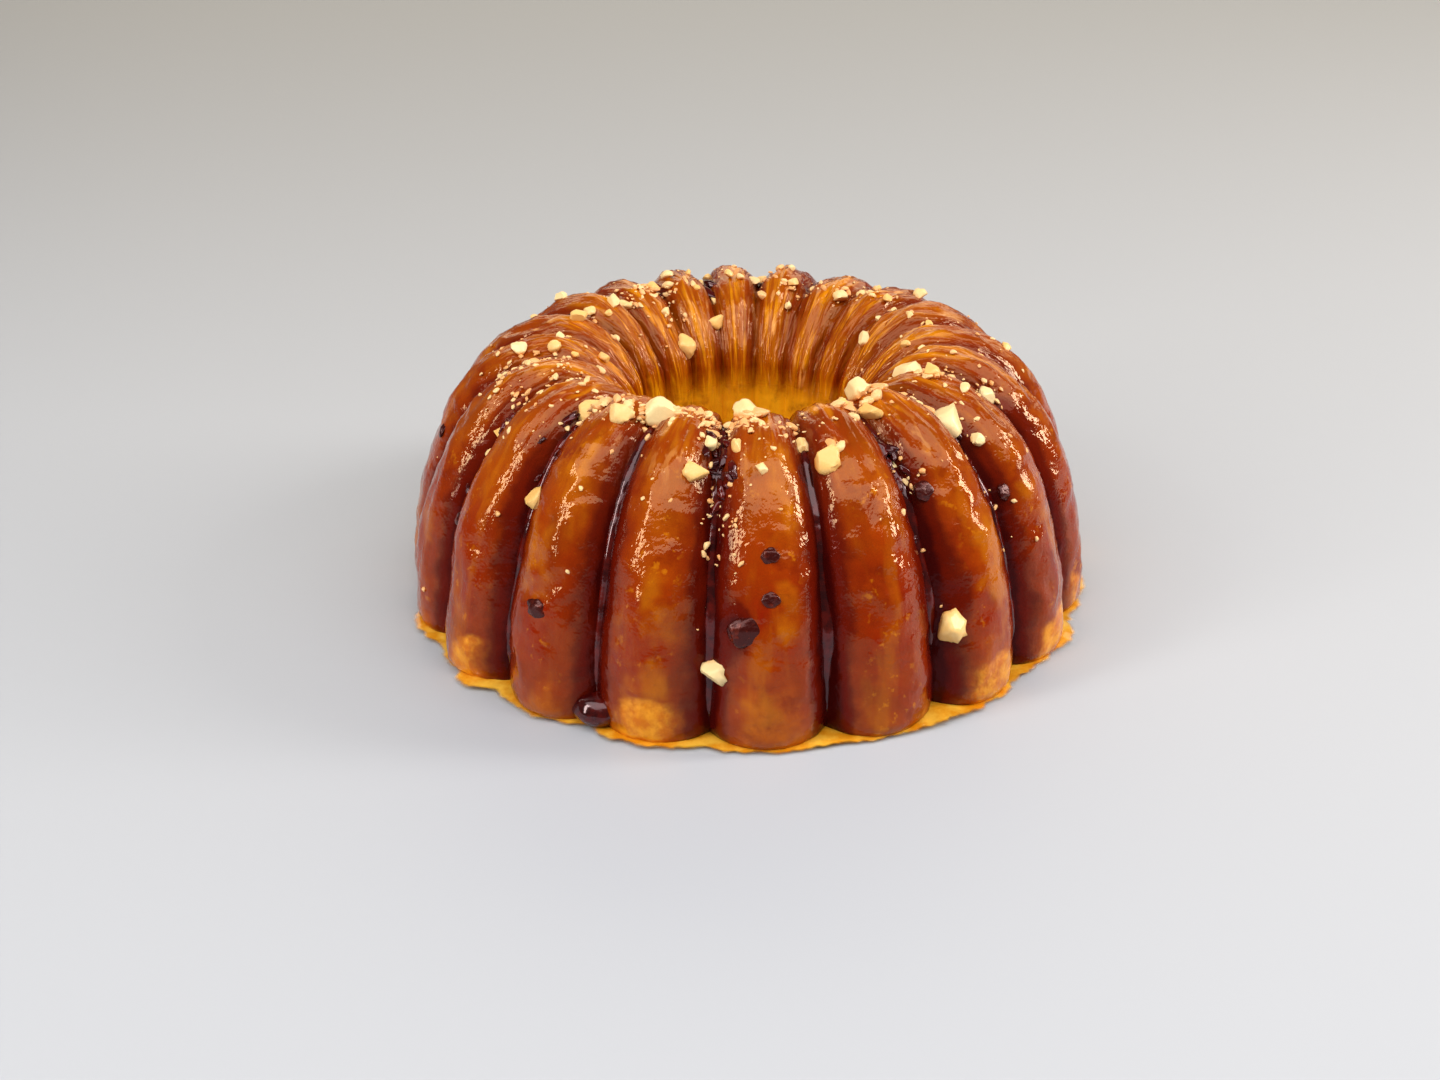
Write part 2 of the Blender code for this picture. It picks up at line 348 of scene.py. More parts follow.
@dataclass(frozen=True)
class CrustFinish:
    """Baked crust under a wet caramel glaze, darker where the glaze lies thick, with painted shade
    towards the grooves, in the glaze's creases and on one flank of each flute, and painted glints
    on the crown.

    The stops give the crust's colour by way, from the foot over the crest into the hole; their
    darker bands low on the sides and just below the crest are partly painted shade.
    """

    stops: tuple[tuple[float, Colour], ...] = (
        (-1.00, linear(182, 88, 4)), (-0.90, linear(152, 54, 2)), (-0.76, linear(134, 24, 1)),
        (-0.56, linear(152, 52, 1)), (-0.34, linear(166, 78, 3)), (-0.18, linear(142, 62, 2)),
        (0.02, linear(214, 130, 7)), (0.50, linear(224, 142, 9)), (0.90, linear(222, 142, 9)),
        (1.20, linear(242, 172, 18)), (2.00, linear(234, 160, 14)),
    )
    blotch: Colour = linear(116, 24, 1)
    umber: Colour = linear(112, 30, 2)
    fleck: Colour = linear(214, 130, 12)
    amber: Colour = linear(222, 120, 6)
    gold: Colour = linear(248, 166, 36)
    # Red, caramel brown and near black towards the grooves: thick caramel and painted groove shade.
    flank_caramel_and_shade: Colour = linear(130, 36, 2)
    caramel: Colour = linear(96, 18, 4)
    black: Colour = linear(62, 7, 5)
    # Painted shade in the glaze's creases, partly caramel gathered there.
    crease_caramel_and_shade: Colour = linear(148, 52, 3)
    sheen: Colour = (1.0, 0.72, 0.42)
    wine: Colour = (1.0, 0.5, 0.55)
    # Painted highlight.
    glint: Colour = linear(240, 168, 92)

    def baked(self, graph: Graph, way: Signal) -> Socket:
        """Colour of the crust where it lies bare or thinly glazed, with the painted shade of the stops."""
        first, last = self.stops[0][0], self.stops[-1][0]
        clouds = graph.speckle(46)
        share = (way + (clouds - 0.5) * 0.5 - first) * (1 / (last - first))
        stops = [((position - first) / (last - first), colour) for position, colour in self.stops]
        crust = graph.node("ShaderNodeValToRGB", {"stops": stops}, {0: share.clamped()})
        blotches = graph.speckle(78, 4, offset=3.1).step(0.5, 0.68)
        crust = graph.mix(blotches * 0.75, crust, self.blotch)
        broad = graph.speckle(34, offset=12.3)
        crust = graph.mix(broad.step(0.52, 0.66) * 0.38, crust, self.umber)
        crust = graph.mix(broad.step(0.48, 0.34) * 0.45, crust, self.fleck)
        flecks = graph.speckle(260, offset=7.7).step(0.58, 0.7) * clouds.step(0.4, 0.6)
        crust = graph.mix(flecks * 0.55, crust, self.fleck)
        sponge = graph.speckle(190)
        bare = graph.carried(Layer.BARE) + (graph.speckle(60, offset=5.5) - 0.5) * 0.8
        foot = bare.step(0.25, 0.6)
        crust = graph.mix(foot * 0.8, crust, self.amber)
        return graph.mix(foot * sponge.step(0.36, 0.66), crust, self.gold)

    def material(self) -> Material:
        """Make the crust's material.

        Returns:
            A material that reads the way, fallen, flow and bare layers of the mesh.
        """
        graph = Graph("glazed_crust")
        way = graph.carried(Layer.WAY)
        inside = way.step(0.95, 1.2)
        arch = 1.0 - inside
        outer = 1.0 - way.step(-0.62, 0.2)
        # Painted shade: towards each groove's bottom the crust darkens, partly thick caramel and partly
        # the shade of the deep groove, more so low on the outside.
        caramel_and_shade = graph.carried(Layer.FALLEN) + (graph.speckle(130) - 0.5) * 0.3
        caramel_and_shade = caramel_and_shade + (graph.speckle(42, 2, 0.5, 9.1) - 0.5) * 0.25
        caramel_and_shade = caramel_and_shade + (graph.streaks(11, 2.2, offset=3.3) - 0.5) * 0.4
        cords = abs(graph.streaks(24, 4.5) - 0.5) * -2.0
        threads = abs(graph.streaks(62, 10, offset=4.2) - 0.5) * -2.0
        crown = way.step(-0.42, -0.1)
        colour = self.baked(graph, way)
        # Painted shade in the creases of the bumped glaze, partly caramel gathered there.
        gathered = (cords + 1.0).step(0.62, 0.95) * (crown * 0.65 + 0.15) * arch
        colour = graph.mix(gathered, colour, self.crease_caramel_and_shade)
        drawn = graph.streaks(16, 2.8, 3, 6.1).step(0.52, 0.7) * (crown * 0.6 + 0.2) * arch
        colour = graph.mix(drawn, colour, self.fleck)
        # Painted highlight: peach glints painted into the crown's colour.
        glints = graph.streaks(26, 9, 3, 8.8).step(0.58, 0.66)
        glints = glints * graph.speckle(36, 2, 0.5, 15.2).step(0.42, 0.56)
        colour = graph.mix(glints * crown * arch * 0.6, colour, self.glint)
        # Painted groove shade together with the caramel: red flanks, then caramel brown, then near black.
        colour = graph.mix(caramel_and_shade.step(0.05, 0.28) * (outer * 0.2 + 0.65) * arch, colour, self.flank_caramel_and_shade)
        colour = graph.mix(caramel_and_shade.step(0.24, 0.42) * (outer * 0.62 + 0.38) * arch, colour, self.caramel)
        colour = graph.mix(caramel_and_shade.step(0.5, 0.72) * outer * arch, colour, self.black)
        crinkle = abs(graph.speckle(150, offset=1.3) - 0.5) * -2.0
        grain = graph.speckle(620, 2, 0.5, 2.4)
        height = (cords * -0.7 - threads * 0.16) * (crown * 0.85 + 0.15) + crinkle * 0.34 + grain * 0.03
        height = height * arch + graph.speckle(300, offset=8.0) * 0.5 * inside
        raised = graph.bump(height, 1.0 * MM)
        rough = 0.07 + graph.speckle(75, offset=6.6).step(0.5, 0.72) * 0.14 + inside * 0.35
        graph.dressed(
            Base_Color=colour,
            Roughness=rough.clamped(),
            Specular_IOR_Level=0.52,
            Specular_Tint=self.sheen,
            Normal=raised,
        )
        return graph.over(
            caramel_and_shade.step(0.3, 0.52) * (outer * 0.8 + 0.2) * arch,
            Base_Color=colour,
            Roughness=0.14,
            Specular_IOR_Level=0.16,
            Specular_Tint=self.wine,
            Normal=raised,
        )


@dataclass(frozen=True)
class CaramelFinish:
    """Thick dark caramel."""

    deep: Colour = linear(44, 3, 4)
    thin: Colour = linear(92, 14, 5)
    sheen: Colour = (1.0, 0.78, 0.86)

    def material(self) -> Material:
        """Make the caramel's material.

        Returns:
            A glossy, nearly black brown.
        """
        graph = Graph("caramel")
        clouds = graph.speckle(160)
        return graph.dressed(
            Base_Color=graph.mix(clouds.step(0.35, 0.7), self.deep, self.thin),
            Roughness=(clouds * 0.12 + 0.06).clamped(),
            Specular_IOR_Level=0.6,
            Specular_Tint=self.sheen,
            Normal=graph.bump(graph.speckle(420, 2, 0.55), 0.2 * MM, 0.4),
        )


@dataclass(frozen=True)
class NutFinish:
    """Pale chopped nuts, stained amber where they touch the glaze; the amber towards their undersides is
    also painted shade.
    """

    cream: Colour = linear(252, 226, 166)
    straw: Colour = linear(246, 196, 112)
    # Amber of a glaze stain, also painted shade on the undersides.
    stain_and_underside_shade: Colour = linear(232, 136, 44)

    def material(self, name: str) -> Material:
        """Make the nuts' material.

        Args:
            name: Name of the material.

        Returns:
            A material that reads the rise and tone layers of the mesh.
        """
        graph = Graph(name)
        rise = graph.carried(Layer.RISE)
        tone = graph.carried(Layer.TONE)
        grain = graph.speckle(700)
        body = graph.mix((tone * 0.8 + grain * 0.4).step(0.3, 0.95), self.cream, self.straw)
        # Painted shade as well as a glaze stain: amber towards each chunk's underside.
        stained = (0.0 - rise + (grain - 0.5) * 0.6).step(0.0, 0.8)
        return graph.dressed(
            Base_Color=graph.mix(stained, body, self.stain_and_underside_shade),
            Roughness=(0.42 + grain * 0.2).clamped(),
            Coat_Weight=0.3,
            Coat_Roughness=0.2,
            Normal=graph.bump(grain, 0.2 * MM, 0.6),
        )


@dataclass(frozen=True)
class RaisinFinish:
    """Dark raisins under the glaze."""

    skin: Colour = linear(54, 7, 4)
    wrinkle: Colour = linear(104, 30, 10)
    sheen: Colour = (1.0, 0.6, 0.6)

    def material(self) -> Material:
        """Make the raisins' material.

        Returns:
            A dark glossy material with paler wrinkles.
        """
        graph = Graph("raisins")
        wrinkles = graph.speckle(420)
        return graph.dressed(
            Base_Color=graph.mix(wrinkles.step(0.5, 0.75), self.skin, self.wrinkle),
            Roughness=(0.16 + wrinkles * 0.2).clamped(),
            Specular_IOR_Level=0.5,
            Specular_Tint=self.sheen,
            Normal=graph.bump(wrinkles, 0.4 * MM, 0.7),
        )


@dataclass(frozen=True)
class SyrupFinish:
    """Mottled amber syrup that thins out to nothing at its rim."""

    gold: Colour = linear(242, 186, 64)
    deep: Colour = linear(218, 138, 18)

    def material(self) -> Material:
        """Make the syrup's material.

        Returns:
            A wet amber material that reads the tone layer of the mesh.
        """
        graph = Graph("syrup")
        clouds = graph.speckle(110, 4)
        thinned = graph.carried(Layer.TONE) + (graph.speckle(85, 4, offset=4.4) - 0.5) * 0.9
        return graph.dressed(
            Base_Color=graph.mix(clouds.step(0.35, 0.65), self.gold, self.deep),
            Roughness=0.1,
            Alpha=1.0 - thinned.step(0.3, 0.8),
            Normal=graph.bump(clouds, 0.5 * MM, 0.4),
        )


@dataclass(frozen=True)
class FloorFinish:
    """Plain pale surface."""

    pale: Colour = linear(184, 190, 201)

    def material(self) -> Material:
        """Make the floor's material."""
        return Graph("floor").dressed(Base_Color=self.pale, Roughness=0.6)


@dataclass(frozen=True)
class Ring:
    """Form of the fluted ring, as the solid has it."""

    flutes: int = 20
    foot_radius: float = 0.1225
    height: float = 0.0935
    crest_radius: float = 0.067
    wall_radius: float = 0.0395
    wall_height: float = 0.065
    hole_foot_radius: float = 0.0345
    hole_edge: float = 0.0015
    crown_fullness: float = 2.1
    side_fullness: float = 2.1
    lip_fullness: float = 1.6
    foot_groove: float = 0.0115
    crest_groove: float = 0.0072
    wall_groove: float = 0.0028
    deep_from_way: float = -0.6
    flute_power: float = 2.0
    flute_roundness: float = 1.35
    groove_fill: float = 0.93
    lump: float = 0.0013
    lump_scale: float = 32.0
    front_spread: float = math.radians(4.4)
    front_turn: float = math.radians(-1.2)
    foot_way: float = -0.98
    last_strewn_way: float = 0.7

    @property
    def pitch(self) -> float:
        """Angle from one flute to the next."""
        return math.tau / self.flutes

    def arch(self, way: Any) -> tuple[Any, Any]:
        """Radius and height of a flute's middle line.

        Args:
            way: One way or an array of them.

        Returns:
            Radius and height.
        """
        outside = np.minimum(way, 0)
        turn = (1 + outside) * math.pi / 2
        out = np.maximum(np.cos(turn), 0) ** (2 / self.side_fullness)
        up = np.maximum(np.sin(turn), 0) ** (2 / self.crown_fullness)
        turn = np.clip(way, 0, 1) * math.pi / 2
        inward = np.maximum(np.sin(turn), 0) ** (2 / self.lip_fullness)
        down = np.maximum(np.cos(turn), 0) ** (2 / self.lip_fullness)
        over = np.asarray(way) > 0
        radius = np.where(
            over,
            blend(self.crest_radius, self.wall_radius, inward),
            blend(self.crest_radius, self.foot_radius, out),
        )
        height = np.where(over, blend(self.wall_height, self.height, down), self.height * up)
        return radius, height

    def arch_normal(self, way: Any) -> tuple[Any, Any]:
        """Direction square to the arch, as its radial and upward parts."""
        step = 0.01
        r0, z0 = self.arch(np.maximum(np.subtract(way, step), -1))
        r1, z1 = self.arch(np.minimum(np.add(way, step), 1))
        length = np.hypot(r1 - r0, z1 - z0)
        return (z1 - z0) / length, (r0 - r1) / length

    def groove(self, way: Any) -> Any:
        """Depth of the grooves at this way over the arch."""
        outer = np.sin(np.clip(np.divide(way, self.deep_from_way), 0, 1) * math.pi / 2)
        inner = np.sin(np.clip(way, 0, 1) * math.pi / 2)
        return np.where(
            np.asarray(way) < 0,
            blend(self.crest_groove, self.foot_groove, outer),
            blend(self.crest_groove, self.wall_groove, inner),
        )

    def across(self, angle: Any) -> Any:
        """Place across a flute: 0 on its middle, -1 and 1 in the grooves beside it."""
        return (angle / self.pitch + 0.5) % 1 * 2 - 1

    def fall(self, place: Any) -> Any:
        """Share of the groove's depth by which a flute falls away at this place across it."""
        return 1 - (1 - np.abs(place) ** self.flute_power) ** (1 / self.flute_roundness)

    def drop(self, place: Any) -> Any:
        """The same fall in the solid, whose grooves are filled up to a flat bottom."""
        return np.minimum(self.fall(place), self.groove_fill)

    def swayed(self, angle: Any) -> Any:
        """Angle after the flutes' uneven spacing: broader at the front, narrower behind."""
        return angle + self.front_spread * np.sin(angle) + self.front_turn * (1 + np.cos(angle)) / 2

    def unswayed(self, degrees: float) -> float:
        """Angle, before the uneven spacing, of a place seen at these degrees on the cake."""
        seen = math.radians(degrees)
        return 2 * seen - float(self.swayed(seen))

    def swell(self, angle: float, radius: float, height: float) -> float:
        """Outward swelling of the baked surface."""
        return self.lump * noise.noise(on_ring(angle, radius, height) * self.lump_scale)

    def point(self, angle: float, way: float) -> tuple[Vector, Vector]:
        """Point of the surface over the arch.

        Args:
            angle: Angle round the ring.
            way: Way over the arch.

        Returns:
            The point and the direction out of it.
        """
        radius, height = (float(part) for part in self.arch(way))
        out, up = (float(part) for part in self.arch_normal(way))
        fall = float(self.groove(way)) * float(self.drop(self.across(angle)))
        around = float(self.swayed(angle))
        outward = on_ring(around, out, up)
        shift = self.swell(angle, radius, height) - fall
        return on_ring(around, radius, height) + outward * shift, outward


def on_ring(angle: float, radius: float, height: float) -> Vector:
    """Point at this angle round the ring."""
    return Vector((radius * math.sin(angle), -radius * math.cos(angle), height))


def publish(
    name: str,
    points: Array,
    faces: Faces,
    material: Material,
    slot: Slot,
    layers: dict[Layer, Array] | None = None,
) -> Piece:
    """Make a piece that rides with the cake and stands for its solid.

    Args:
        name: Name of the piece.
        points: Its points, one row each.
        faces: Its faces, as rows of point numbers.
        material: Its finish.
        slot: The record's slot that the finish belongs to; not used.
        layers: Values that its points carry.

    Returns:
        The piece.
    """
    mesh = bpy.data.meshes.new(name)
    mesh.from_pydata(points.tolist(), [], faces)
    for layer, values in (layers or {}).items():
        kind, member = ("FLOAT", "value") if values.ndim == 1 else ("FLOAT_VECTOR", "vector")
        attribute = mesh.attributes.new(layer.value, kind, "POINT")
        attribute.data.foreach_set(member, values.astype(np.float32).ravel())
    mesh.shade_smooth()
    mesh.materials.append(material)
    piece = bpy.data.objects.new(name, mesh)
    bpy.context.scene.collection.objects.link(piece)
    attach(piece, BODY)
    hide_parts(NODE)
    log.info("%s: %d points, %d faces", name, len(points), len(faces))
    return piece


def sheet_faces(rows: int, columns: int, closed: bool) -> Faces:
    """Faces of a grid of points whose rows are rings.

    Args:
        rows: Rows of points.
        columns: Points in a row.
        closed: Whether the last row joins the first.

    Returns:
        Four point numbers for each face.
    """
    row = np.arange(rows if closed else rows - 1)[:, None]
    column = np.arange(columns)[None, :]
    next_row = (row + 1) % rows
    next_column = (column + 1) % columns
    corners = (
        row * columns + column,
        row * columns + next_column,
        next_row * columns + next_column,
        next_row * columns + column,
    )
    stacked = np.stack(corners, axis=-1).reshape(-1, 4)
    return [tuple(face) for face in stacked.tolist()]


@dataclass(frozen=True)
class Wrinkle:
    """One size of crease in the glaze, longer along a flute than across it."""

    across: float
    along: float
    height: float
    creased: bool = False

    def at(self, angle: float, length: float) -> float:
        """Height of the crease.

        Args:
            angle: Angle round the ring.
            length: Length along the arch from the foot.

        Returns:
            Height in metres.
        """
        turns = DM / self.across
        place = Vector((turns * math.sin(angle), turns * math.cos(angle), length / self.along))
        wave = noise.noise(place)
        if self.creased:
            wave = 0.4 - 2 * abs(wave)
        return self.height * wave


@dataclass
class Crust:
    """The baked ring with its wrinkled glaze."""

    ring: Ring
    columns_per_flute: int = 40
    crown_step: float = 0.00135
    side_step: float = 0.0021
    wall_rows: int = 10
    base_rows: int = 3
    fill: float = 0.90
    fill_softness: float = 0.22
    # Painted shade: how much darker each flute's flank towards lower angles is made.
    flank_shade: float = 0.08
    stains: tuple[tuple[float, float, float, float, float], ...] = (
        (-5.5, -0.71, 2.2, 0.06, 0.45), (33, -0.72, 2.6, 0.14, 0.24), (-38, -0.60, 2.0, 0.12, 0.20),
        (-96, -0.66, 3.0, 0.12, 0.30), (125, -0.70, 3.0, 0.14, 0.30), (-152, -0.64, 3.0, 0.12, 0.30),
    )
    foot_rounding: float = 0.0022
    foot_round_height: float = 0.006
    broad: Wrinkle = Wrinkle(0.012, 0.026, 0.9 * MM)
    cords: tuple[Wrinkle, ...] = (
        Wrinkle(0.0070, 0.024, 1.45 * MM, creased=True),
        Wrinkle(0.0036, 0.016, 0.70 * MM, creased=True),
    )
    dents: tuple[Wrinkle, ...] = (
        Wrinkle(0.0085, 0.0095, 0.72 * MM, creased=True),
        Wrinkle(0.0040, 0.0050, 0.26 * MM, creased=True),
    )
    crumbs: tuple[Wrinkle, ...] = (
        Wrinkle(0.010, 0.010, 0.9 * MM),
        Wrinkle(0.004, 0.004, 0.5 * MM, creased=True),
    )
    bare_feet: tuple[Pair, ...] = (
        (-54, 5), (-20, 7), (8.7, 3.5), (27.9, 4), (38, 7), (57, 6), (68, 5), (92, 6), (131, 7), (168, 5),
        (-104, 6), (-140, 6),
    )
    hole_from: Pair = (0.95, 1.2)
    rough_foot_from: Pair = (-0.9, -0.97)
    rough_foot: float = 0.8
    bare_from: Pair = (-0.85, -0.95)
    crown_from: Pair = (-0.5, -0.1)
    cords_aside: float = 0.15
    dents_on_crown: float = 0.35
    side_from: Pair = (0.4, 0.7)
    arch_samples: int = 2000
    base_inset: float = 0.015
    wall_up: float = 0.05

    def arch_ways(self) -> Array:
        """Ways of the rows over the arch, closest on its crown."""
        fine = np.linspace(self.ring.foot_way, 1, self.arch_samples)
        radius, height = self.ring.arch(fine)
        step = blend(self.crown_step, self.side_step, smooth(*self.side_from, np.abs(fine[1:])))
        rows = np.hypot(np.diff(radius), np.diff(height)) / step
        passed = np.concatenate([[0], np.cumsum(rows)])
        return np.interp(np.linspace(0, passed[-1], round(passed[-1])), passed, fine)

    def filled(self, fall: Array) -> Array:
        """Fall of the surface once the glaze has rounded off the groove's bottom."""
        share = np.clip(0.5 + 0.5 * (self.fill - fall) / self.fill_softness, 0, 1)
        return blend(self.fill, fall, share) - self.fill_softness * share * (1 - share)

    def rows(self) -> list[tuple[float, float, float, float, float, float]]:
        """Rows of the ring's skin, from the foot over the arch and down the hole.

        Returns:
            For each row its radius, height, outward part, upward part, way and groove.
        """
        ring = self.ring
        rows = []
        radius = float(ring.arch(ring.foot_way)[0])
        for share in np.linspace(0, 1, self.base_rows, endpoint=False):
            middle = blend(ring.hole_foot_radius + ring.hole_edge, radius - self.base_inset, share)
            rows.append((middle, 0.0, 0.0, -1.0, 2.0 - share, 0.0))
        rows.append((radius - self.foot_rounding, 0.0, 1.0, 0.0, -1.0, float(ring.groove(-1.0))))
        for way in self.arch_ways():
            r, z = (float(part) for part in ring.arch(way))
            out, up = (float(part) for part in ring.arch_normal(way))
            rows.append((r, z, out, up, float(way), float(ring.groove(way))))
        for share in np.linspace(0, 1, self.wall_rows + 1)[1:]:
            r = blend(ring.wall_radius, ring.hole_foot_radius, share)
            z = blend(ring.wall_height, ring.hole_edge, share)
            rows.append((r, z, -1.0, self.wall_up, 1.0 + share, ring.wall_groove * (1 - share)))
        return rows

    def relief(self, angle: float, length: float, way: float) -> float:
        """Height of the glaze's wrinkles, or of the bare crumb at the foot and in the hole."""
        foot = self.rough_foot * float(smooth(*self.rough_foot_from, way))
        bare = max(float(smooth(*self.hole_from, way)), foot)
        crown = float(smooth(*self.crown_from, way))
        rise = self.broad.at(angle, length)
        rise += sum(cord.at(angle, length) for cord in self.cords) * blend(self.cords_aside, 1.0, crown)
        rise += sum(dent.at(angle, length) for dent in self.dents) * blend(1.0, self.dents_on_crown, crown)
        crumbs = sum(crumb.at(angle, length) for crumb in self.crumbs) if bare > 0 else 0.0
        return blend(rise, crumbs, bare)

    def bare(self, angles: Array, way: float) -> Array:
        """How bare the crust lies at this way, where the glaze has run off its foot."""
        seen = np.degrees(self.ring.swayed(angles))
        share = np.zeros(len(angles))
        for middle, reach in self.bare_feet:
            share = np.maximum(share, hill(seen, middle, reach))
        return share * smooth(*self.bare_from, way)

    def stained(self, angles: Array, way: float) -> Array:
        """How much darker the glaze lies at this way than the grooves alone make it."""
        seen = np.degrees(self.ring.swayed(angles))
        dark = np.zeros(len(angles))
        for middle, height, reach, tall, strength in self.stains:
            spot = hill(seen, middle, reach) * math.exp(-(((way - height) / tall) ** 2))
            dark = np.maximum(dark, strength * spot)
        return dark

    def foot_inset(self, height: float) -> float:
        """How far the rounded foot draws in at this height."""
        share = max(1 - height / self.foot_round_height, 0)
        return self.foot_rounding * (1 - math.sqrt(1 - share * share))

    def build(self) -> Piece:
        """Build and dress the crust.

        Returns:
            The crust, one closed mesh.
        """
        ring = self.ring
        rows = self.rows()
        columns = ring.flutes * self.columns_per_flute
        angles = np.arange(columns) * math.tau / columns
        place = ring.across(angles)
        nearer = np.sign(place) * np.sin(np.abs(place) * math.pi / 2)
        angles = angles + (nearer - place) * ring.pitch / 2
        place = np.clip(ring.across(angles), -1, 1)
        fall = self.filled(ring.fall(place))
        around = ring.swayed(angles)
        points, flow, bare, fallen = [], [], [], []
        length = 0.0
        previous = rows[0]
        for row in rows:
            r, z, out, up, way, deep = row
            length += math.hypot(r - previous[0], z - previous[1])
            previous = row
            shift = -deep * fall
            if z > 0:
                swells = [ring.swell(a, r, z) + self.relief(a, length, way) for a in angles]
                shift = shift + np.array(swells)
            if z > 0 and -1 < way < 0:
                shift = shift - self.foot_inset(z) * (1 + np.abs(place) ** 3)
            points.append(ring_row(around, r + out * shift, z + up * shift))
            flow.append(np.stack([np.sin(angles), np.cos(angles), np.full(columns, length / DM)], axis=1))
            bare.append(self.bare(angles, way))
            # Painted shade on each flute's flank towards lower angles, as well as the glaze's own darker
            # stains.
            fallen.append(fall * (1 - self.flank_shade * place) + self.stained(angles, way))
        layers = {
            Layer.WAY: np.repeat([row[4] for row in rows], columns),
            Layer.FALLEN: np.concatenate(fallen),
            Layer.FLOW: np.concatenate(flow),
            Layer.BARE: np.concatenate(bare),
        }
        faces = sheet_faces(len(rows), columns, True)
        material = CrustFinish().material()
        return publish("crust", np.concatenate(points), faces, material, Slot.CRUST, layers)


@dataclass
class Strewn:
    """Rule that strews things over the arch, the shown ones first, none touching another.

    Those that are drawn keep off the front, where the shown ones lie.
    """

    ring: Ring
    count: int
    way_middle: float
    way_spread: float
    lengths: Pair
    seed: int
    spacing: float = 1.2
    shown_half: float = math.radians(75)

    def places(self, shown: Sequence[Place]) -> list[Place]:
        """Places of all the things.

        Args:
            shown: Those that the photo shows, in degrees on the cake and millimetres.

        Returns:
            All of them, in radians before the uneven spacing and metres.
        """
        draw = random.Random(self.seed)
        places = [
            (self.ring.unswayed(degrees), way, length * MM, math.radians(turn))
            for degrees, way, length, turn in shown
        ]
        while len(places) < len(shown) + self.count:
            angle = draw.uniform(-math.pi, math.pi)
            way = draw.gauss(self.way_middle, self.way_spread)
            length = blend(*self.lengths, draw.random() ** 2)
            turn = draw.uniform(0, math.pi)
            if abs(angle) < self.shown_half or not self.ring.foot_way < way < self.ring.last_strewn_way:
                continue
            here = self.ring.point(angle, way)[0]
            gaps = [
                (here - self.ring.point(other[0], other[1])[0]).length
                - self.spacing * (length + other[2]) / 2
                for other in places
            ]
            if min(gaps) > 0:
                places.append((angle, way, length, turn))
        return places


@dataclass
class Heap:
    """Many chunks or strands gathered in one mesh."""

    points: list[Array] = field(default_factory=list)
    faces: Faces = field(default_factory=list)
    rises: list[Array] = field(default_factory=list)
    tones: list[Array] = field(default_factory=list)
    count: int = 0

    def add(self, local: Array, faces: Faces, turned: Matrix, tone: float) -> None:
        """Add one chunk.

        Args:
            local: Its points before it is turned and moved.
            faces: Its faces.
            turned: Where it lies.
            tone: How dark it is, from 0 to 1.
        """
        rotation = np.array(turned.to_3x3())
        self.points.append(local @ rotation.T + np.array(turned.translation))
        self.faces += [tuple(self.count + corner for corner in face) for face in faces]
        self.rises.append(local[:, 2] / max(np.abs(local[:, 2]).max(), 1e-6))
        self.tones.append(np.full(len(local), tone))
        self.count += len(local)

    def publish(self, name: str, material: Material, slot: Slot) -> Piece:
        """Make the heap's piece."""
        layers = {Layer.RISE: np.concatenate(self.rises), Layer.TONE: np.concatenate(self.tones)}
        return publish(name, np.concatenate(self.points), self.faces, material, slot, layers)


def ball(subdivisions: int) -> tuple[Array, Faces]:
    """Points and faces of a ball of radius 1."""
    shape = bmesh.new()
    bmesh.ops.create_icosphere(shape, subdivisions=subdivisions, radius=1)
    points = np.array([tuple(vertex.co) for vertex in shape.verts])
    faces = [tuple(vertex.index for vertex in face.verts) for face in shape.faces]
    shape.free()
    return points, faces


def chopped(points: Array, cuts: int, draw: random.Random) -> Array:
    """Cut flat faces on an uneven ball.

    Args:
        points: The ball's points.
        cuts: How many faces.
        draw: Source of the cuts' directions.

    Returns:
        The points, those beyond a cut laid on it.
    """
    seed = Vector((draw.uniform(0, SEED_RANGE), 0, 0))
    uneven = [
        1 + sum(strength * noise.noise(Vector(point) * scale + seed) for strength, scale in CHIP_LUMPS)
        for point in points
    ]
    cut = points * np.array(uneven)[:, None]
    for _ in range(cuts):
        direction = Vector((draw.gauss(0, 1), draw.gauss(0, 1), draw.gauss(0, 1))).normalized()
        reach = draw.uniform(*CUT_REACH)
        beyond = cut @ np.array(direction) - reach
        cut -= np.outer(np.maximum(beyond, 0), np.array(direction))
    return cut / np.abs(cut).max(axis=0)


def strewn(ring: Ring, patches: Sequence[Patch], lengths: Pair, draw: random.Random) -> list[Place]:
    """Places of the bits in some patches.

    Args:
        ring: The form that they lie on.
        patches: The patches.
        lengths: Shortest and longest bit.
        draw: Source of the places.

    Returns:
        Angle, way, length and turn of each bit.
    """
    places = []
    for degrees, way, degrees_spread, way_spread, count in patches:
        for _ in range(count):
            seen = draw.gauss(degrees, degrees_spread)
            reached = min(max(draw.gauss(way, way_spread), BIT_WAYS[0]), BIT_WAYS[1])
            length = blend(*lengths, draw.random() ** 2)
            places.append((ring.unswayed(seen), reached, length, draw.uniform(0, math.pi)))
    return places


def laid(ring: Ring, place: Place, raised: float, tilt: Euler | None = None) -> Matrix:
    """Turn and move of a thing that lies at a place.

    Args:
        ring: The form that it lies on.
        place: Angle, way, length and turn.
        raised: How far its middle is above the surface.
        tilt: How it is tipped.

    Returns:
        Where it lies.
    """
    angle, way, _, turn = place
    point, outward = ring.point(angle, way)
    lie = outward.to_track_quat("Z", "Y").to_matrix() @ Matrix.Rotation(turn, 3, "Z")
    if tilt:
        lie = lie @ tilt.to_matrix()
    return Matrix.Translation(point + outward * raised) @ lie.to_4x4()


